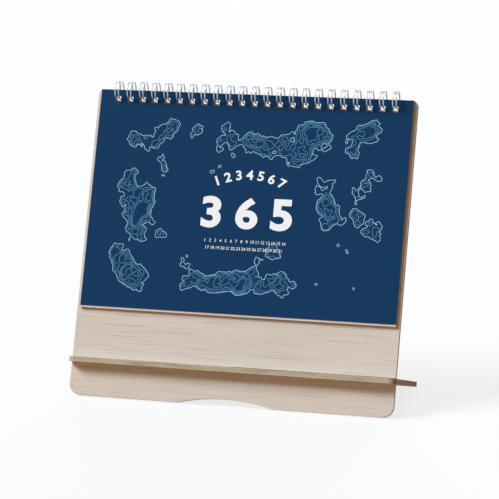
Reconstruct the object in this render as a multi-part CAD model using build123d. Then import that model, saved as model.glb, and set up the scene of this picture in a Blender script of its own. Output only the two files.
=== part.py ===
"""Desk calendar: a leaning board with a pad of sheets on a twin-loop wire comb, propped by a support plate.

Two thin boards are slotted into each other without glue. The back board leans and carries the pad. The
support plate crosses it near the bottom: its front part is a narrow ledge, and its rear part reaches down to
the desk as a foot. The sheets hang in front of the board on one continuous wire, and turn over its top.

Lengths are millimetres and angles are degrees. The pieces are drawn in the frame of the back board, where x
runs along it, y up it and z out of its front face, and are then leaned back onto the desk.
"""

import math
import os

from build123d import *

# Back board
board_width = 214.6
board_height = 203.0
board_thickness = 3.3
board_top_radius = 3.0
board_foot_radius = 7.0
lean = 20.5

# Finger arc in the board's bottom edge, and how far its middle lies from the board's
finger_chord = 62.0
finger_depth = 4.0
finger_shift = -2.6

# Support plate, cut from the same kind of board
plate_thickness = 3.3
plate_level = 21.4
plate_tilt = 3.9
plate_overhang = 1.0
ledge_depth = 6.2
ledge_radius = 4.5
plate_foot_radius = 2.0

# Clearances of the two slots that the boards share
slot_height_play = 0.15
slot_side_play = 0.15
slot_end_play = 0.1

# Sheets of the pad
sheet_width = 210.0
cover_height = 144.4
month_height = 145.7
cover_thickness = 0.3
month_thickness = 0.24
month_count = 6
sheet_air = 0.03

# Row of punched holes, as many as fit between the side margins
loop_pitch = 25.4 / 3
row_margin = 9.5
hole_size = 4.0
hole_margin = 4.1

# Clearance of the wire in the board's own holes, on every side
board_hole_play = 0.35

# Twin-loop wire comb
wire_diameter = 0.9
ring_diameter = 12.7
ring_rise = -0.1
ring_reach = 1.0
twin_spacing = 2.35
root_angle = 293.0
root_radius = 0.9
bend_step = 60.0
tip_gap = 0.7
wire_end = 1.4

# The line that the sheets turn about, from the top edges and from the board's front face
hinge_rise = 0.3
hinge_reach = 1.5

lean_sin = math.sin(math.radians(lean))
lean_cos = math.cos(math.radians(lean))
tilt_sin = math.sin(math.radians(plate_tilt))
tilt_cos = math.cos(math.radians(plate_tilt))

# How far the plate runs behind the board's front face before its lower edge meets the desk
plate_slope = math.radians(lean - plate_tilt)
plate_reach = (plate_level * lean_cos + board_thickness * lean_sin) / math.sin(plate_slope)

# The plate's ends stand out a little past the board's edges
plate_width = board_width + 2 * plate_overhang

wire_area = math.pi * wire_diameter**2 / 4
ring_radius = (ring_diameter - wire_diameter) / 2
ring_y = board_height + ring_rise
ring_z = ring_reach
loop_count = int((sheet_width - 2 * row_margin) / loop_pitch) + 1
loop_places = [(i - (loop_count - 1) / 2) * loop_pitch for i in range(loop_count)]


def local_depth(y, z):
    """How far behind the board's front bottom edge a point lies, measured along the desk."""
    return y * lean_sin - z * lean_cos


# The part's depth runs from its front-most corner to the rear of the rings, or to the plate's foot
front_depth = min(0.0, local_depth(plate_level - ledge_depth * tilt_sin, ledge_depth * tilt_cos))
rear_depth = max(
    local_depth(ring_y, ring_z) + ring_diameter / 2,
    local_depth(
        plate_level + plate_reach * tilt_sin + plate_thickness * tilt_cos,
        plate_thickness * tilt_sin - plate_reach * tilt_cos,
    ),
)
origin_y = -(front_depth + rear_depth) / 2
origin_z = board_thickness * lean_sin
board_plane = Plane(
    origin=(0, origin_y, origin_z),
    x_dir=(1, 0, 0),
    z_dir=(0, -lean_cos, lean_sin),
)

# The plate's own frame: x along it, y towards the ledge, z out of its lower face
plate_plane = Plane(
    origin=(0, plate_level, 0),
    x_dir=(1, 0, 0),
    z_dir=(0, -tilt_cos, -tilt_sin),
)


def slab(x0, x1, y0, y1, z0, z1):
    """A plain block between two corners."""
    block = Box(x1 - x0, y1 - y0, z1 - z0)
    return Pos((x0 + x1) / 2, (y0 + y1) / 2, (z0 + z1) / 2) * block


def hole_row(width, y0, y1, z0, z1):
    """Cutters for the row of holes, between two heights and two depths."""
    return [slab(x - width / 2, x + width / 2, y0, y1, z0, z1) for x in loop_places]


def board_holes():
    """Cutters for the board's holes, which clear the rings that rise through them to the rear."""
    front_sin = ring_z / ring_radius
    rear_sin = (ring_z + board_thickness) / ring_radius
    front_cos = math.sqrt(1 - front_sin**2)
    rear_cos = math.sqrt(1 - rear_sin**2)
    low = ring_y - ring_radius * front_cos - wire_diameter / 2 / front_cos - board_hole_play
    high = ring_y - ring_radius * rear_cos + wire_diameter / 2 / rear_cos + board_hole_play
    width = twin_spacing + wire_diameter + 2 * board_hole_play
    return hole_row(width, low, high, -2 * board_thickness, board_thickness)


def finger_arc():
    """Cutter for the shallow arc that lets a finger under the board's bottom edge."""
    radius = (finger_chord / 2) ** 2 / (2 * finger_depth) + finger_depth / 2
    disc = Cylinder(radius, 3 * board_thickness)
    return Pos(finger_shift, finger_depth - radius, -board_thickness / 2) * disc


def back_board():
    """The leaning board, with its slot for the support plate open at the right edge."""
    half = board_width / 2
    board = slab(-half, half, 0, board_height, -board_thickness, 0)
    upright = board.edges().filter_by(Axis.Z)
    board = fillet(upright.group_by(Axis.Y)[-1], board_top_radius)
    upright = board.edges().filter_by(Axis.Z)
    board = fillet(upright.group_by(Axis.Y)[0], board_foot_radius)
    slot_low = plate_level - slot_height_play
    slot_high = (
        plate_level
        + plate_thickness / tilt_cos
        + board_thickness * tilt_sin / tilt_cos
        + slot_height_play
    )
    depth = board_thickness
    slot = slab(-slot_end_play / 2, board_width, slot_low, slot_high, -2 * depth, depth)
    return board - slot - finger_arc() - board_holes()


def support_plate():
    """The crossing plate, with its slot for the back board open at the left end."""
    half = plate_width / 2
    plate = slab(-half, half, -plate_reach, ledge_depth, -plate_thickness, 0)
    corners = plate.edges().filter_by(Axis.Z)
    plate = fillet(corners.group_by(Axis.Y)[-1], ledge_radius)
    corners = plate.edges().filter_by(Axis.Z)
    plate = fillet(corners.group_by(Axis.Y)[0], plate_foot_radius)
    # the plate is tilted, so its upper side meets the board a little further back than its lower side
    skew = plate_thickness * tilt_sin
    front = slot_side_play / tilt_cos
    back = -(board_thickness + slot_side_play + skew) / tilt_cos
    slot = slab(-plate_width, slot_end_play / 2, back, front, -2 * plate_thickness, plate_thickness)
    return plate_plane * (plate - slot)


def sheet(height, thickness, back):
    """One sheet of the pad with its punched holes, whose rear face lies at height back over the board."""
    half = sheet_width / 2
    paper = slab(-half, half, board_height - height, board_height, back, back + thickness)
    high = board_height - hole_margin
    return paper - hole_row(hole_size, high - hole_size, high, back - thickness, back + 2 * thickness)


def ring_point(x, angle):
    """A point of the wire's centre line, turned from the bottom of the ring through its front."""
    turn = math.radians(angle)
    return Vector(
        x,
        ring_y - ring_radius * math.cos(turn),
        ring_z + ring_radius * math.sin(turn),
    )


def ring_outward(angle):
    """The way out from the ring's centre at that angle."""
    turn = math.radians(angle)
    return Vector(0, -math.cos(turn), math.sin(turn))


def ring_heading(angle):
    """The way along the ring at that angle."""
    turn = math.radians(angle)
    return Vector(0, math.sin(turn), math.cos(turn))


class WirePen:
    """Draws the wire: its end section moves straight on or turns about an axis, and leaves its sides behind.

    The section is square with the round wire's area, and small bends go in flat steps. Both keep it light.
    """

    def __init__(self, start, outward):
        frame = Plane(origin=start, x_dir=outward, z_dir=(1, 0, 0))
        side = math.sqrt(wire_area)
        self.section = (frame * Rectangle(side, side)).face()
        self.centre = start
        self.skin = [self.section]
        self.points = [(0.0, start)]
        self.length = 0.0

    def sides_of(self, run, moved):
        """The faces of a solid run, without its two ends."""
        ends = (self.section.center(), moved.center())
        near = wire_diameter / 100
        return [face for face in run.faces() if min((face.center() - end).length for end in ends) > near]

    def flat_sides(self, moved):
        """Flat faces from each edge of the section to its moved copy."""
        pairs = zip(self.section.edges(), moved.edges())
        return [Face(Wire.make_polygon([a @ 0, a @ 1, b @ 1, b @ 0])) for a, b in pairs]

    def add(self, sides, moved, path, length):
        """Keeps a run's sides, and points of its centre line half a wire apart."""
        self.skin.extend(sides)
        count = max(1, round(length / (wire_diameter / 2)))
        here = self.centre
        for i in range(1, count + 1):
            self.points.append((self.length + length * i / count, path(here, i / count)))
        self.section = moved
        self.centre = self.points[-1][1]
        self.length += length

    def straight(self, length):
        """A straight run along the row of loops."""
        moved = Pos(length, 0, 0) * self.section
        run = extrude(self.section, length, dir=(1, 0, 0))
        self.add(
            self.sides_of(run, moved),
            moved,
            lambda point, share: point + Vector(length * share, 0, 0),
            length,
        )

    def arc(self, origin, direction, angle, radius, flat=False):
        """A turn about a line, by the right-hand rule, with round or with flat sides."""
        axis = Axis(origin, direction)
        spin = Axis((0, 0, 0), direction)
        moved = self.section.rotate(axis, angle)
        if flat:
            sides = self.flat_sides(moved)
        else:
            sides = self.sides_of(revolve(self.section, axis, angle), moved)
        self.add(
            sides,
            moved,
            lambda point, share: origin + (point - origin).rotate(spin, angle * share),
            math.radians(angle) * radius,
        )

    def bend(self, origin, direction, angle, radius):
        """A small turn in flat steps."""
        count = math.ceil(angle / bend_step)
        for _ in range(count):
            self.arc(origin, direction, angle / count, radius, flat=True)

    def solid(self):
        """The whole wire, closed by its last section."""
        return Solid(Shell(self.skin + [self.section]))


def draw_wire():
    """The comb's one wire: a bar, a root bend, round the ring, the tip, and back again, loop by loop."""
    along = Vector(1, 0, 0)
    arm = twin_spacing / 2
    span = 360 - math.degrees((root_radius + tip_gap + arm) / ring_radius)
    tip_angle = root_angle + span
    ring_centre = Vector(0, ring_y, ring_z)
    root_out, tip_out = ring_outward(root_angle), ring_outward(tip_angle)
    bar = ring_point(0, root_angle) - ring_heading(root_angle) * root_radius
    first = loop_places[0] - arm - root_radius
    pen = WirePen(bar + along * (first - wire_end), root_out)
    pen.straight(wire_end)
    for i, x in enumerate(loop_places):
        if i:
            pen.straight(loop_pitch - twin_spacing - 2 * root_radius)
        pen.bend(ring_point(x - arm - root_radius, root_angle), root_out, 90, root_radius)
        pen.arc(ring_centre, -along, span, ring_radius)
        pen.bend(ring_point(x, tip_angle), -tip_out, 180, arm)
        pen.arc(ring_centre, along, span, ring_radius)
        pen.bend(ring_point(x + arm + root_radius, root_angle), root_out, 90, root_radius)
    pen.straight(wire_end)
    return pen


def least_self_gap(pen):
    """The least distance between the wire's surfaces, over points of two loops that lie apart along it."""
    apart = math.pi * wire_diameter
    two_loops = [spot for spot in pen.points if spot[0] < 2 * pen.length / loop_count]
    least = math.inf
    for i, (here, p) in enumerate(two_loops):
        for there, q in two_loops[i + 1 :]:
            if there - here > apart:
                least = min(least, (p - q).length)
    return least - wire_diameter


os.makedirs("parts", exist_ok=True)

pieces = {"back_board": back_board(), "support_plate": support_plate()}

# The pad is stacked from the board outwards, and the cover comes last
back = sheet_air
for number in range(month_count, 0, -1):
    pieces[f"month_sheet_{number}"] = sheet(month_height, month_thickness, back)
    back += month_thickness + sheet_air
pieces["cover_sheet"] = sheet(cover_height, cover_thickness, back)

pen = draw_wire()
comb = pen.solid()
pieces["wire_binding"] = comb

for name, piece in pieces.items():
    placed = board_plane * piece
    placed.label = name
    export_step(placed, f"parts/{name}.step")

hinge = board_plane.from_local_coords(Vector(0, board_height + hinge_rise, hinge_reach))
print("wire volume over section times length:", round(comb.volume / (wire_area * pen.length), 4))
print("wire's least gap to itself, mm:", round(least_self_gap(pen), 2))
print("wire length, mm:", round(pen.length, 1))
print("hinge line of the sheets, mm:", [round(v, 3) for v in (hinge.X, hinge.Y, hinge.Z)])
print("plate reach behind the board's front face, mm:", round(plate_reach, 2))
print("pad's front face over the board, mm:", round(back + cover_thickness, 2))
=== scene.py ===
"""Looks of the desk calendar: veneered boards with cut edges, a printed pad and a round wire comb.

Lengths are millimetres, turned into metres by mm. What is drawn here lies in the frame of the back board:
x runs along it, y up it from its front bottom edge, and z out of its front face.
"""

import math

import bpy
from mathutils import Matrix, Vector, noise


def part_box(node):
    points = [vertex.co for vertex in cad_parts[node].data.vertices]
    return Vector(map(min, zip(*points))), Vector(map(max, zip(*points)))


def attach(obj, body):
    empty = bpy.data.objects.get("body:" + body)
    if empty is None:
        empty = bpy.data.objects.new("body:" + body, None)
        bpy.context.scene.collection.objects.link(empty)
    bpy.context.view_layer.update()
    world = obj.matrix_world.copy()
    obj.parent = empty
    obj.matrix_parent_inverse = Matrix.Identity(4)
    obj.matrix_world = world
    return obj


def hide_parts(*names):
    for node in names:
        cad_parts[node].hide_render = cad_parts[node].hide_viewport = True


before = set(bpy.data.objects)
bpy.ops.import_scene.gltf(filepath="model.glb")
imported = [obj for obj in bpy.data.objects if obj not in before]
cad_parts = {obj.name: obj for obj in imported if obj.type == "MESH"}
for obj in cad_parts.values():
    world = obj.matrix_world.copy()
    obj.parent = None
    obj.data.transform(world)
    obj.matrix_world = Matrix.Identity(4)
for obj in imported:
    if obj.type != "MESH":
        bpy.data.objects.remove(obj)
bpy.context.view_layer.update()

mm = 0.001

# The boards
lean = math.radians(20.5)
plate_tilt = math.radians(3.9)
board_thickness = 3.3
board_height = 203.0

# The pad
sheet_width = 210.0
cover_height = 144.4
cover_thickness = 0.3
month_thickness = 0.24
sheet_air = 0.03
month_count = 6

# How thick the ink lies on the paper: figures cover the lines that they cross
line_ink = 0.012
figure_ink = 0.018

# Colours as red, green and blue from 0 to 255
navy = (20, 59, 97)
coast_blue = (152, 204, 230)
pale_blue = (92, 156, 196)
print_white = (244, 249, 254)
# The paper's cut edges, painted darker than the paper as shade on the stack's edges and in the holes
shaded_paper_edge = (166, 146, 131)
page_cream = (220, 211, 202)
page_ink = (38, 66, 98)
veneer = (215, 207, 196)
veneer_dark = (204, 194, 182)
veneer_line = (158, 132, 108)
cut_front = (187, 173, 150)
# The boards' ends: a burnt cut, painted darker with shade
burnt_and_shaded_end = (138, 95, 57)
cut_burn = (118, 82, 54)
wire_white = (199, 208, 218)
floor_seen = (212, 212, 213)
floor_bounce = (178, 132, 92)

# The board stands on its rear bottom edge, and its front bottom edge is its foremost line, a little higher
board_origin = Vector((0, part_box("back_board")[0].y, board_thickness * math.sin(lean) * mm))
board_matrix = Matrix.Translation(board_origin) @ Matrix.Rotation(math.radians(90) - lean, 4, "X")
board_normal = tuple(board_matrix.to_3x3() @ Vector((0, 0, 1)))
plate_normal = tuple(board_matrix.to_3x3() @ Vector((0, math.cos(plate_tilt), math.sin(plate_tilt))))


def on_board(x, y, z):
    """A place in the board's frame, in millimetres, as a point of the scene."""
    return board_matrix @ Vector((x * mm, y * mm, z * mm))


def linear(colour, light=1.0):
    """The scene's linear value of a colour that is given as it looks, with a share of its light."""
    parts = [part / 255 for part in colour]
    values = [part / 12.92 if part < 0.04045 else ((part + 0.055) / 1.055) ** 2.4 for part in parts]
    return (*[value * light for value in values], 1.0)


class Nodes:
    """The node tree of a material or of the world, with short ways to add and join nodes."""

    def __init__(self, owner, shader="Principled BSDF", output="Material Output"):
        owner.use_nodes = True
        self.owner = owner
        self.tree = owner.node_tree
        self.shader = self.tree.nodes[shader]
        self.output = self.tree.nodes[output]

    def join(self, value, socket):
        """Joins a socket to another, or sets its plain value."""
        if isinstance(value, bpy.types.NodeSocket):
            self.tree.links.new(value, socket)
        else:
            socket.default_value = value

    def feed(self, node, inputs):
        """Joins or sets some inputs of a node, whose names are given with _ for a space."""
        for name, value in inputs.items():
            self.join(value, node.inputs[name.replace("_", " ")])

    def add(self, kind, settings=None, **inputs):
        """A node with some settings, whose inputs are sockets to join or plain values."""
        node = self.tree.nodes.new(kind)
        for name, value in (settings or {}).items():
            setattr(node, name, value)
        self.feed(node, inputs)
        return node

    def surface(self, **inputs):
        """Joins or sets inputs of the tree's own shader."""
        self.feed(self.shader, inputs)

    def compute(self, operation, *values):
        """The result of one sum."""
        node = self.add("ShaderNodeMath", {"operation": operation})
        for value, socket in zip(values, node.inputs):
            self.join(value, socket)
        return node.outputs[0]

    def scaled(self, value, factor, offset=0.0):
        """A value times a factor, plus an offset."""
        return self.compute("MULTIPLY_ADD", value, factor, offset)

    def mix(self, share, first, second):
        """A blend of two colours, whose sockets come after those for numbers and directions."""
        node = self.add("ShaderNodeMix", {"data_type": "RGBA"})
        factor, first_colour, second_colour, mixed_colour = 0, 6, 7, 2
        self.join(share, node.inputs[factor])
        self.join(first, node.inputs[first_colour])
        self.join(second, node.inputs[second_colour])
        return node.outputs[mixed_colour]

    def mix_shaders(self, share, first, second):
        """Makes the surface a blend of two shaders."""
        node = self.add("ShaderNodeMixShader")
        for value, socket in zip((share, first, second), node.inputs):
            self.join(value, socket)
        self.join(node.outputs[0], self.output.inputs["Surface"])

    def step(self, value, low, high):
        """0 below low, 1 above high, and smooth in between."""
        settings = {"interpolation_type": "SMOOTHSTEP"}
        return self.add("ShaderNodeMapRange", settings, Value=value, From_Min=low, From_Max=high).outputs[0]

    def place(self, scale):
        """Coordinates that stay with the object, in the board's frame, where one unit is 1/scale metres."""
        coordinates = self.add("ShaderNodeTexCoord").outputs["Object"]
        back = (lean - math.radians(90), 0, 0)
        point = {"vector_type": "POINT"}
        turned = self.add("ShaderNodeMapping", point, Vector=coordinates, Rotation=back)
        return self.add("ShaderNodeMapping", point, Vector=turned.outputs[0], Scale=scale).outputs[0]

    def noise(self, waves, detail=2.0, roughness=0.5, distortion=0.0):
        """Noise with so many waves per metre along each axis of the board."""
        node = self.add(
            "ShaderNodeTexNoise",
            Vector=self.place(waves),
            Scale=1.0,
            Detail=detail,
            Roughness=roughness,
            Distortion=distortion,
        )
        return node.outputs[0]

    def facing(self, way):
        """How far the surface faces along a way of the object, from 1 down to -1 on the other side."""
        normal = self.add("ShaderNodeTexCoord").outputs["Normal"]
        node = self.add("ShaderNodeVectorMath", {"operation": "DOT_PRODUCT"})
        self.join(normal, node.inputs[0])
        self.join(way, node.inputs[1])
        return node.outputs["Value"]

    def broad(self, way, low, high):
        """1 on the faces that look along a way or straight against it, and 0 on the edges between them."""
        return self.step(self.compute("ABSOLUTE", self.facing(way)), low, high)

    def bump(self, height, distance, strength):
        """Raises the surface by a height from 0 to 1 times a distance."""
        node = self.add("ShaderNodeBump", Height=height, Distance=distance * mm, Strength=strength)
        self.surface(Normal=node.outputs[0])

    def seen_directly(self):
        """1 for rays from the camera, a mirror or clear glass, and 0 for light that is scattered."""
        rays = self.add("ShaderNodeLightPath").outputs
        seen = self.compute("MAXIMUM", rays["Is Camera Ray"], rays["Is Glossy Ray"])
        return self.compute("MAXIMUM", seen, rays["Is Transmission Ray"])


# Wood: how fine each kind of its grain is, in waves per metre along x, y and z
band_waves = (7, 330, 330)
fibre_waves = (40, 1900, 1900)
line_waves = (22, 1150, 1150)
pore_waves = (140, 2600, 2600)
cloud_waves = (14, 22, 22)
layer_waves = (60, 900, 900)

# What bands, fibres and clouds add to the veneer's tone
band_share = 0.26
fibre_share = 0.54
cloud_share = 0.20

# Between which levels of the noise a feature comes in, and how strongly it shows
tone_range = (0.34, 0.68)
line_range = (0.57, 0.70)
line_strength = 0.32
pore_range = (0.63, 0.76)
pore_strength = 0.15
burn_range = (0.42, 0.72)
burn_strength = 0.45

# How squarely a surface has to look along a way to count as a broad face, or as an end of the board
face_range = (0.7, 0.75)
end_range = (0.6, 0.95)
# Over what length the ends' darker brown, partly a burnt cut and partly painted shade, comes in outside the
# pad's own width
end_blend = 1.0

# Wood's roughness, what fibres add to it, its gloss, and the height and strength of its relief
wood_roughness = 0.46
wood_unevenness = 0.22
wood_gloss = 0.2
wood_relief = 0.12
wood_relief_strength = 0.6


def veneer_face(nodes, fibres, pores):
    """The colour of the boards' broad faces."""
    bands = nodes.noise(band_waves, distortion=0.3)
    lines = nodes.noise(line_waves, distortion=0.2)
    clouds = nodes.noise(cloud_waves)
    tone = nodes.scaled(bands, band_share, nodes.scaled(fibres, fibre_share))
    tone = nodes.scaled(clouds, cloud_share, tone)
    face = nodes.mix(nodes.step(tone, *tone_range), linear(veneer), linear(veneer_dark))
    line = nodes.scaled(nodes.step(lines, *line_range), line_strength)
    face = nodes.mix(line, face, linear(veneer_line))
    pore = nodes.scaled(nodes.step(pores, *pore_range), pore_strength)
    return nodes.mix(pore, face, linear(veneer_line))


def cut_edge(nodes):
    """The colour of the boards' cut edges: browner at both ends than along the grain and in the holes. The
    ends' darker brown is partly a burnt cut and partly painted shade.
    """
    endward = nodes.broad((1, 0, 0), *end_range)
    along = nodes.add("ShaderNodeSeparateXYZ", Vector=nodes.place((1, 1, 1))).outputs["X"]
    inner = sheet_width / 2
    outermost = nodes.step(nodes.compute("ABSOLUTE", along), inner * mm, (inner + end_blend) * mm)
    # the ends are painted darker: partly a burnt cut, partly painted shade
    edge = nodes.mix(nodes.scaled(endward, outermost), linear(cut_front), linear(burnt_and_shaded_end))
    layers = nodes.noise(layer_waves, detail=3, roughness=0.6)
    burn = nodes.scaled(nodes.step(layers, *burn_range), burn_strength)
    return nodes.mix(burn, edge, linear(cut_burn))


def wood(name, face_normal):
    """Pale straight-grained veneer on the broad faces, and a cut, browned edge all round, whose ends hold
    painted shade.
    """
    nodes = Nodes(bpy.data.materials.new(name))
    fibres = nodes.noise(fibre_waves, detail=4, roughness=0.6)
    pores = nodes.noise(pore_waves)
    on_face = nodes.broad(face_normal, *face_range)
    nodes.surface(
        Base_Color=nodes.mix(on_face, cut_edge(nodes), veneer_face(nodes, fibres, pores)),
        Roughness=nodes.scaled(fibres, wood_unevenness, wood_roughness),
        Specular_IOR_Level=wood_gloss,
    )
    relief = nodes.scaled(pores, 0.5, nodes.scaled(fibres, 0.5))
    nodes.bump(relief, wood_relief, wood_relief_strength)
    return nodes.owner


# Paper, in the same terms. The satin cover is smoother than the pages
paper_fibre_waves = (900, 900, 900)
paper_cloud_waves = (60, 60, 60)
paper_cloud_share = 0.25
mottle_range = (0.3, 0.7)
mottle_strength = 0.07
cover_roughness = 0.42
page_roughness = 0.62
paper_unevenness = 0.14
paper_gloss = 0.04
paper_relief = 0.02
paper_relief_strength = 0.5


def paper(name, front_colour, roughness):
    """A sheet that is printed in front and plain behind, and whose cut edges are painted darker than the
    paper, as shade on the stack's edges and in the holes.
    """
    nodes = Nodes(bpy.data.materials.new(name))
    fibres = nodes.noise(paper_fibre_waves, detail=4, roughness=0.65)
    clouds = nodes.noise(paper_cloud_waves)
    in_front = nodes.step(nodes.facing(board_normal), -0.5, 0.5)
    face = nodes.mix(in_front, linear(page_cream), linear(front_colour))
    # the cut edges get painted shade
    colour = nodes.mix(nodes.broad(board_normal, *face_range), linear(shaded_paper_edge), face)
    mottle = nodes.scaled(clouds, paper_cloud_share, nodes.scaled(fibres, 1 - paper_cloud_share))
    shade = nodes.scaled(nodes.step(mottle, *mottle_range), -mottle_strength, 1.0)
    shaded = nodes.add("ShaderNodeVectorMath", {"operation": "SCALE"}, Vector=colour, Scale=shade)
    nodes.surface(
        Base_Color=shaded.outputs[0],
        Roughness=nodes.scaled(fibres, paper_unevenness, roughness),
        Specular_IOR_Level=paper_gloss,
    )
    nodes.bump(fibres, paper_relief, paper_relief_strength)
    return nodes.owner


# Ink, and how much light is left where it lies thinnest
ink_waves = (1400, 1400, 1400)
ink_range = (0.35, 0.7)
ink_thinnest = 0.93
cover_ink_roughness = 0.5
page_ink_roughness = 0.6
ink_unevenness = 0.15
ink_relief = 0.008
ink_relief_strength = 0.4


def printed(name, colour, roughness):
    """Ink on paper, a little uneven where it has soaked in."""
    nodes = Nodes(bpy.data.materials.new(name))
    grain = nodes.noise(ink_waves, detail=3, roughness=0.6)
    thin = nodes.step(grain, *ink_range)
    nodes.surface(
        Base_Color=nodes.mix(thin, linear(colour), linear(colour, ink_thinnest)),
        Roughness=nodes.scaled(grain, ink_unevenness, roughness),
    )
    nodes.bump(grain, ink_relief, ink_relief_strength)
    return nodes.owner


# The wire's coat: its draw marks, how much light is left in them, and how much it mirrors
mark_waves = (1800, 500, 500)
mark_range = (0.4, 0.75)
mark_shade = 0.8
wire_roughness = 0.2
wire_unevenness = 0.2
wire_sheen = 0.65
wire_coat = 0.3
wire_relief = 0.01
wire_relief_strength = 0.4


def coated_wire():
    """White coated steel wire with fine draw marks."""
    nodes = Nodes(bpy.data.materials.new("coated_wire"))
    marks = nodes.noise(mark_waves, detail=3, roughness=0.6)
    marked = nodes.step(marks, *mark_range)
    nodes.surface(
        Base_Color=nodes.mix(marked, linear(wire_white), linear(wire_white, mark_shade)),
        Roughness=nodes.scaled(marks, wire_unevenness, wire_roughness),
        Metallic=wire_sheen,
        Coat_Weight=wire_coat,
    )
    nodes.bump(marks, wire_relief, wire_relief_strength)
    return nodes.owner


def dress(node_name, material):
    """Gives a carried-over solid its material."""
    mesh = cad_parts[node_name].data
    mesh.materials.clear()
    mesh.materials.append(material)


def linked(name, data):
    """A new object of the scene."""
    made = bpy.data.objects.new(name, data)
    bpy.context.scene.collection.objects.link(made)
    return made


def meshed(curve):
    """The mesh of a curve or of some figures. Their own object is removed again."""
    holder = linked("curve", curve)
    bpy.context.view_layer.update()
    mesh = bpy.data.meshes.new_from_object(holder)
    bpy.data.objects.remove(holder)
    return mesh


def piece(name, mesh, material, body):
    """A new piece of the object that moves with a body."""
    mesh.materials.clear()
    mesh.materials.append(material)
    made = linked(name, mesh)
    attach(made, body)
    return made


# Steps in which the figures' round strokes are drawn
figure_steps = 6


def glyph_outlines(text, height, heavier, wider):
    """The points and faces of some flat figures of that height, around their own middle.

    Heavier adds to their strokes, as a share of the type's size, and wider stretches them along the line.
    """
    curve = bpy.data.curves.new("figures", "FONT")
    curve.body = text
    curve.align_x = "CENTER"
    curve.size = 1.0
    curve.offset = heavier
    curve.resolution_u = figure_steps
    mesh = meshed(curve)
    levels = [v.co.y for v in mesh.vertices]
    low, high = min(levels), max(levels)
    scale = height / (high - low)
    points = [(v.co.x * scale * wider, (v.co.y - (low + high) / 2) * scale) for v in mesh.vertices]
    faces = [tuple(p.vertices) for p in mesh.polygons]
    return points, faces


class Print:
    """Ink on one face of a sheet: flat figures and lines, a hair thick, gathered into one mesh."""

    def __init__(self, height, ink):
        self.height = height
        self.ink = ink
        self.vertices = []
        self.faces = []

    def add_flat(self, points, faces):
        """Adds a flat shape as a closed plate, which stands out by the ink and dips in by half as much."""
        first = len(self.vertices)
        count = len(points)
        for level in (self.height - self.ink / 2, self.height + self.ink):
            self.vertices.extend(on_board(x, y, level) for x, y in points)
        for face in faces:
            self.faces.append([first + count + i for i in face])
            self.faces.append([first + i for i in reversed(face)])
        # an edge that no other face runs back along is on the outline, and gets a wall
        edges = dict.fromkeys(edge for face in faces for edge in zip(face, face[1:] + face[:1]))
        for a, b in edges:
            if (b, a) not in edges:
                self.faces.append([first + a, first + b, first + count + b, first + count + a])

    def figures(self, text, x, y, height, heavier=0.0, wider=1.0, turn=0.0):
        """Figures of that height around a point, turned by an angle in radians."""
        points, faces = glyph_outlines(text, height, heavier, wider)
        cosine, sine = math.cos(turn), math.sin(turn)
        placed = [(x + cosine * u - sine * v, y + sine * u + cosine * v) for u, v in points]
        self.add_flat(placed, faces)

    def line(self, points, width, closed=False):
        """A line of even width along points."""
        count = len(points)
        sides = []
        for i, (x, y) in enumerate(points):
            before = points[i - 1] if closed or i else points[i]
            after = points[(i + 1) % count] if closed or i < count - 1 else points[i]
            dx, dy = after[0] - before[0], after[1] - before[1]
            length = math.hypot(dx, dy) or 1.0
            side_x, side_y = -dy / length * width / 2, dx / length * width / 2
            sides += [(x - side_x, y - side_y), (x + side_x, y + side_y)]
        spans = count if closed else count - 1
        faces = []
        for i in range(spans):
            j = (i + 1) % count
            faces.append((2 * i, 2 * j, 2 * j + 1, 2 * i + 1))
        self.add_flat(sides, faces)

    def mesh(self, name):
        """The gathered print as a mesh."""
        made = bpy.data.meshes.new(name)
        made.from_pydata(self.vertices, [], self.faces)
        made.update()
        return made


def pad_back(number):
    """The height of a month sheet's rear face over the board. Sheet 1 lies in front, and the cover is 0."""
    return sheet_air + (month_count - number) * (month_thickness + sheet_air)


# The contour map on the cover: an invented sea chart, drawn where a field of noise passes some levels.
# The step of its grid, its margin to the cover's edges, and the grain and roughness of the noise
chart_step = 1.15
chart_margin = 9.0
chart_grain = 27.0
chart_seed = 11.7
chart_smoothness = 0.8
chart_fineness = 2.1
chart_layers = 6
# The coast's level and those above it, the fewest points that make a line, and the widths of the lines
chart_levels = (0.0, 0.13, 0.26, 0.39, 0.52)
chart_shortest = 6
coast_width = 0.38
contour_width = 0.25
# Where the field is raised to land or lowered to sea: the middle, right of the pad's middle and up from its
# top edge, then the reach along and up, and the rise
chart_rises = (
    (-78, -34, 16, 14, 0.40),
    (-58, -92, 14, 12, 0.34),
    (-64, -124, 26, 10, 0.42),
    (-22, -24, 22, 9, 0.36),
    (-6, -126, 20, 9, 0.42),
    (46, -30, 18, 12, 0.36),
    (84, -62, 13, 22, 0.42),
    (58, -98, 14, 10, 0.34),
    (62, -124, 24, 10, 0.42),
    (2, -78, 42, 33, -1.1),
)
# How far the whole field is lowered, and how far from the margin it falls away
chart_sea = 0.17
chart_rim = 9.0


def chart_field(x, y):
    """The height of the invented land at a place on the cover, below 0 in the sea."""
    place = Vector((x / chart_grain, y / chart_grain, chart_seed))
    rough = noise.fractal(place, chart_smoothness, chart_fineness, chart_layers)
    rise = sum(
        height * math.exp(-(((x - middle) / along) ** 2) - ((y - down) / up) ** 2)
        for middle, down, along, up, height in chart_rises
    )
    rim = min(sheet_width / 2 - abs(x), -y, cover_height + y) - chart_margin
    return rough + rise - chart_sea - math.exp(-rim / chart_rim)


def crossing(first, second):
    """The place between two corners where the field passes 0."""
    share = first[2] / (first[2] - second[2])
    return (first[0] + share * (second[0] - first[0]), first[1] + share * (second[1] - first[1]))


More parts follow.
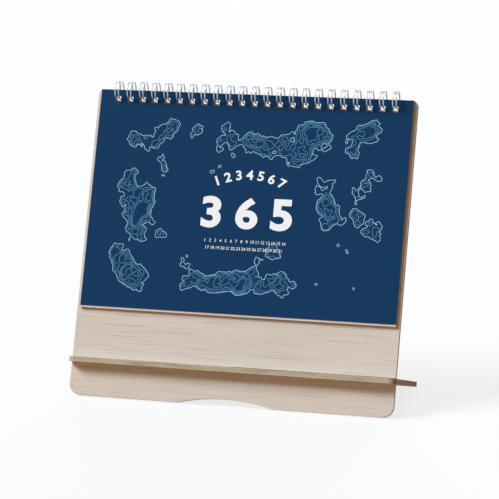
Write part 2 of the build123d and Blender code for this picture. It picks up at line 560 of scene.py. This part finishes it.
def contours(level):
    """The closed lines on which the chart's field passes a level, as lists of points."""
    columns = int((sheet_width - 2 * chart_margin) / chart_step)
    rows = int((cover_height - 2 * chart_margin) / chart_step)
    heights = {}
    for i in range(columns + 1):
        for j in range(rows + 1):
            x = (i - columns / 2) * chart_step
            y = -chart_margin - (rows - j) * chart_step
            rim = i in (0, columns) or j in (0, rows)
            heights[i, j] = (x, y, -1.0 if rim else chart_field(x, y) - level)
    # in each square, the line runs from where the border leaves the land to where it came onto it
    follows = {}
    for i in range(columns):
        for j in range(rows):
            corners = ((i, j), (i + 1, j), (i + 1, j + 1), (i, j + 1))
            crossings = []
            for first, second in zip(corners, corners[1:] + corners[:1]):
                inside = heights[first][2] >= 0
                if inside != (heights[second][2] >= 0):
                    crossings.append((inside, tuple(sorted((first, second)))))
            for k, (leaving, edge) in enumerate(crossings):
                if leaving:
                    follows[edge] = crossings[k - 1][1]
    lines = []
    while follows:
        start = next(iter(follows))
        edges = [start]
        edge = follows.pop(start)
        while edge != start:
            edges.append(edge)
            edge = follows.pop(edge)
        if len(edges) >= chart_shortest:
            lines.append([crossing(heights[a], heights[b]) for a, b in edges])
    return lines


def chart_print(name, levels, width, material):
    """The chart's contour lines at some levels, on the cover."""
    lines = Print(pad_back(0) + cover_thickness, line_ink)
    for level in levels:
        for points in contours(level):
            lines.line([(x, board_height + y) for x, y in points], width, closed=True)
    piece(name, lines.mesh(name), material, "cover_sheet")


# The cover's figures lie around this line, and each kind so far below the pad's top edge
cover_middle = 1.5
# The number of a year's days, in large figures
year_text = "365"
year_drop = 78.5
year_height = 20.8
year_spacing = 23.5
year_heavier = 0.035
year_wider = 1.14
# A week's days on an arc, whose centre lies so far down, at an angular spacing in degrees
week_days = 7
week_drop = 105.2
week_radius = 52
week_spacing = 8.2
week_height = 6.4
week_heavier = 0.025
week_wider = 1.1
# A month's dates in two rows
date_rows = ((1, 16), (17, 31))
date_drop = 97
date_row_spacing = 4.8
date_spacing = 3.5
date_height = 2.0
date_heavier = 0.004


def cover_figures(material):
    """White figures on the cover: the days of a year, a week's on an arc above and a month's below."""
    cover = Print(pad_back(0) + cover_thickness, figure_ink)
    for i, figure in enumerate(year_text):
        x = cover_middle + (i - (len(year_text) - 1) / 2) * year_spacing
        y = board_height - year_drop
        cover.figures(figure, x, y, year_height, year_heavier, year_wider)
    for i in range(week_days):
        turn = math.radians(((week_days - 1) / 2 - i) * week_spacing)
        x = cover_middle - week_radius * math.sin(turn)
        y = board_height - week_drop + week_radius * math.cos(turn)
        cover.figures(str(i + 1), x, y, week_height, week_heavier, week_wider, turn)
    for row, (first, last) in enumerate(date_rows):
        for day in range(first, last + 1):
            x = cover_middle + (day - (first + last) / 2) * date_spacing
            y = board_height - date_drop - date_row_spacing * row
            cover.figures(str(day), x, y, date_height, date_heavier)
    piece("cover_figures", cover.mesh("cover_figures"), material, "cover_sheet")


# How many days each month has, and how many columns later it starts than the one before
month_days = (31, 28, 31, 30, 31, 30)
month_shift = 3
# The grid of days: its left edge right of the pad's middle, and its top below the pad's top edge
grid_columns = 7
grid_rows = 5
grid_left = -91.0
grid_drop = 39
column_width = 26.0
row_height = 19.5
grid_line = 0.3
# The number of the month, over the grid's left end
number_drop = 20
number_inset = 6
number_height = 12
number_heavier = 0.03
# A short bar over each column
bar_half = 5
bar_rise = 3.5
bar_width = 0.9
# The figure of a day, and where it lies in its cell, as shares of the cell
day_along = 0.22
day_down = 0.3
day_height = 4.6
day_heavier = 0.012


def month_print(number, material):
    """A month's page: its number, a grid of days and a row of short bars over the columns."""
    page = Print(pad_back(number) + month_thickness, line_ink)
    number_x, number_y = grid_left + number_inset, board_height - number_drop
    page.figures(str(number), number_x, number_y, number_height, number_heavier)
    grid_top = board_height - grid_drop
    grid_right = grid_left + grid_columns * column_width
    for i in range(grid_rows + 1):
        y = grid_top - i * row_height
        page.line([(grid_left, y), (grid_right, y)], grid_line)
    for i in range(grid_columns):
        x = grid_left + (i + 0.5) * column_width
        y = grid_top + bar_rise
        page.line([(x - bar_half, y), (x + bar_half, y)], bar_width)
    first_column = (number * month_shift) % grid_columns
    for day in range(1, month_days[number - 1] + 1):
        cell = (day - 1 + first_column) % (grid_columns * grid_rows)
        x = grid_left + (cell % grid_columns + day_along) * column_width
        y = grid_top - (cell // grid_columns + day_down) * row_height
        page.figures(str(day), x, y, day_height, day_heavier)
    name = f"month_print_{number}"
    piece(name, page.mesh(name), material, f"month_sheet_{number}")


# The wire comb. Its root lies at an angle in degrees, from the bottom of the ring through its front
loop_count = 23
loop_pitch = 25.4 / 3
wire_diameter = 0.9
ring_diameter = 12.7
ring_rise = -0.1
ring_reach = 1.0
twin_spacing = 2.35
root_angle = 293.0
root_radius = 0.9
tip_gap = 0.7
wire_end = 1.4
ring_radius = (ring_diameter - wire_diameter) / 2
# Steps of the wire's centre line round a ring and in a quarter turn, and how finely its section is rounded
ring_steps = 48
bend_steps = 6
section_steps = 3


def ring_point(x, angle):
    """A point of the wire's centre line, turned from the bottom of the ring through its front."""
    turn = math.radians(angle)
    y = board_height + ring_rise - ring_radius * math.cos(turn)
    z = ring_reach + ring_radius * math.sin(turn)
    return Vector((x, y, z))


def ring_heading(angle):
    """The way along the ring at that angle."""
    turn = math.radians(angle)
    return Vector((0, math.sin(turn), math.cos(turn)))


def wire_path():
    """The comb's centre line: bar, root bend, round the ring, tip, and back again, loop by loop."""
    along = Vector((1, 0, 0))
    arm = twin_spacing / 2
    span = 360 - math.degrees((root_radius + tip_gap + arm) / ring_radius)
    tip_angle = root_angle + span
    root_way, tip_way = ring_heading(root_angle), ring_heading(tip_angle)
    quarter = [math.radians(90) * k / bend_steps for k in range(bend_steps + 1)]
    half = [math.radians(180) * k / (2 * bend_steps) for k in range(2 * bend_steps + 1)]
    ring = [span * k / ring_steps for k in range(1, ring_steps)]
    path = []
    for i in range(loop_count):
        x = (i - (loop_count - 1) / 2) * loop_pitch
        into = ring_point(x - arm - root_radius, root_angle)
        out = ring_point(x + arm + root_radius, root_angle)
        tip = ring_point(x, tip_angle)
        if i == 0:
            path.append(into - root_way * root_radius - along * wire_end)
        path += [into + root_radius * (along * math.sin(a) - root_way * math.cos(a)) for a in quarter]
        path += [ring_point(x - arm, root_angle + a) for a in ring]
        path += [tip + arm * (tip_way * math.sin(a) - along * math.cos(a)) for a in half]
        path += [ring_point(x + arm, tip_angle - a) for a in ring]
        path += [out - root_radius * (along * math.cos(a) + root_way * math.sin(a)) for a in quarter]
        if i == loop_count - 1:
            path.append(out - root_way * root_radius + along * wire_end)
    return path


def wire_comb():
    """The round wire, in place of its lighter square solid."""
    curve = bpy.data.curves.new("wire", "CURVE")
    curve.dimensions = "3D"
    curve.bevel_depth = wire_diameter / 2 * mm
    curve.bevel_resolution = section_steps
    curve.use_fill_caps = True
    path = wire_path()
    spline = curve.splines.new("POLY")
    spline.points.add(len(path) - 1)
    for point, place in zip(spline.points, path):
        point.co = (*on_board(*place), 1)
    mesh = meshed(curve)
    for polygon in mesh.polygons:
        polygon.use_smooth = True
    made = piece("wire_comb", mesh, coated_wire(), "stand")
    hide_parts("wire_binding")


def direction(azimuth, height):
    """The way from the object towards a lamp or the camera: degrees to the right of the front, and up."""
    turn, rise = math.radians(azimuth), math.radians(height)
    return Vector((math.sin(turn) * math.cos(rise), -math.cos(turn) * math.cos(rise), math.sin(rise)))


# The camera looks down at the front from the right. It aims at a point of the scene, and angles are degrees
camera_aim = (4.0, 0.0, 95.25)
camera_distance = 1377.6
camera_azimuth = 14.86
camera_drop = 12.13
camera_lens = 153.63
camera_film = 36.0
camera_nearest = 50.0
camera_farthest = 50000.0


def place_camera():
    """The camera, at the photograph's angle."""
    back = direction(camera_azimuth, camera_drop)
    data = bpy.data.cameras.new("camera")
    data.lens = camera_lens
    data.sensor_width = camera_film
    data.clip_start = camera_nearest * mm
    data.clip_end = camera_farthest * mm
    made = linked("camera", data)
    made.location = Vector(camera_aim) * mm + back * camera_distance * mm
    made.rotation_euler = (-back).to_track_quat("-Z", "Y").to_euler()
    bpy.context.scene.camera = made


# The fill's strength, and its tint, which is warm because the photograph's shadows are brown
fill_strength = 0.22
fill_tint = (1.0, 0.77, 0.56)


def fill_light():
    """An even fill from all around, which looks white where it is seen itself."""
    world = bpy.data.worlds.new("studio")
    bpy.context.scene.world = world
    nodes = Nodes(world, "Background", "World Output")
    nodes.surface(Color=(*fill_tint, 1), Strength=fill_strength)
    white = nodes.add("ShaderNodeBackground", Color=(1, 1, 1, 1), Strength=1.0)
    nodes.mix_shaders(nodes.seen_directly(), nodes.shader.outputs[0], white.outputs[0])


# Soft lamps: azimuth and height in degrees, angular width, strength and tint
lamps = {
    "key": (-66, 48, 26, 3.85, (0.97, 1.07, 1.16)),
    "rear": (-172, 15, 40, 1.7, (0.94, 1.02, 1.1)),
}


def soft_lamps():
    """A soft key light from the upper left, and a lamp behind."""
    for name, (azimuth, height, width, strength, tint) in lamps.items():
        light = bpy.data.lights.new(name, "SUN")
        light.energy = strength
        light.color = tint
        light.angle = math.radians(width)
        lamp = linked(name, light)
        lamp.rotation_euler = direction(azimuth, height).to_track_quat("Z", "Y").to_euler()


# The floor reaches so far each way, and the camera sees this share of its shading. The rest is white light
floor_half = 20000.0
floor_roughness = 0.9
floor_share = 0.2


def lay_floor():
    """A floor that looks nearly white and throws a warm light back on the object."""
    half = floor_half * mm
    corners = [(-half, -half, 0), (half, -half, 0), (half, half, 0), (-half, half, 0)]
    mesh = bpy.data.meshes.new("floor")
    mesh.from_pydata(corners, [], [(0, 1, 2, 3)])
    nodes = Nodes(bpy.data.materials.new("floor"))
    seen = nodes.seen_directly()
    nodes.surface(
        Base_Color=nodes.mix(seen, linear(floor_bounce), linear(floor_seen)),
        Roughness=floor_roughness,
    )
    glow = nodes.add("ShaderNodeEmission", Strength=1.0)
    nodes.mix_shaders(nodes.scaled(seen, 1 - floor_share), nodes.shader.outputs[0], glow.outputs[0])
    mesh.materials.append(nodes.owner)
    linked("floor", mesh)


place_camera()
fill_light()
soft_lamps()
lay_floor()

dress("back_board", wood("board_veneer", board_normal))
dress("support_plate", wood("plate_veneer", plate_normal))

dress("cover_sheet", paper("cover_stock", navy, cover_roughness))
coast_print = printed("coast_print", coast_blue, cover_ink_roughness)
pale_print = printed("pale_print", pale_blue, cover_ink_roughness)
white_print = printed("white_print", print_white, cover_ink_roughness)
chart_print("cover_coasts", chart_levels[:1], coast_width, coast_print)
chart_print("cover_contours", chart_levels[1:], contour_width, pale_print)
cover_figures(white_print)

page_stock = paper("page_stock", page_cream, page_roughness)
dark_print = printed("dark_print", page_ink, page_ink_roughness)
for number in range(1, month_count + 1):
    dress(f"month_sheet_{number}", page_stock)
    month_print(number, dark_print)
wire_comb()

bpy.context.scene.view_settings.view_transform = "Standard"
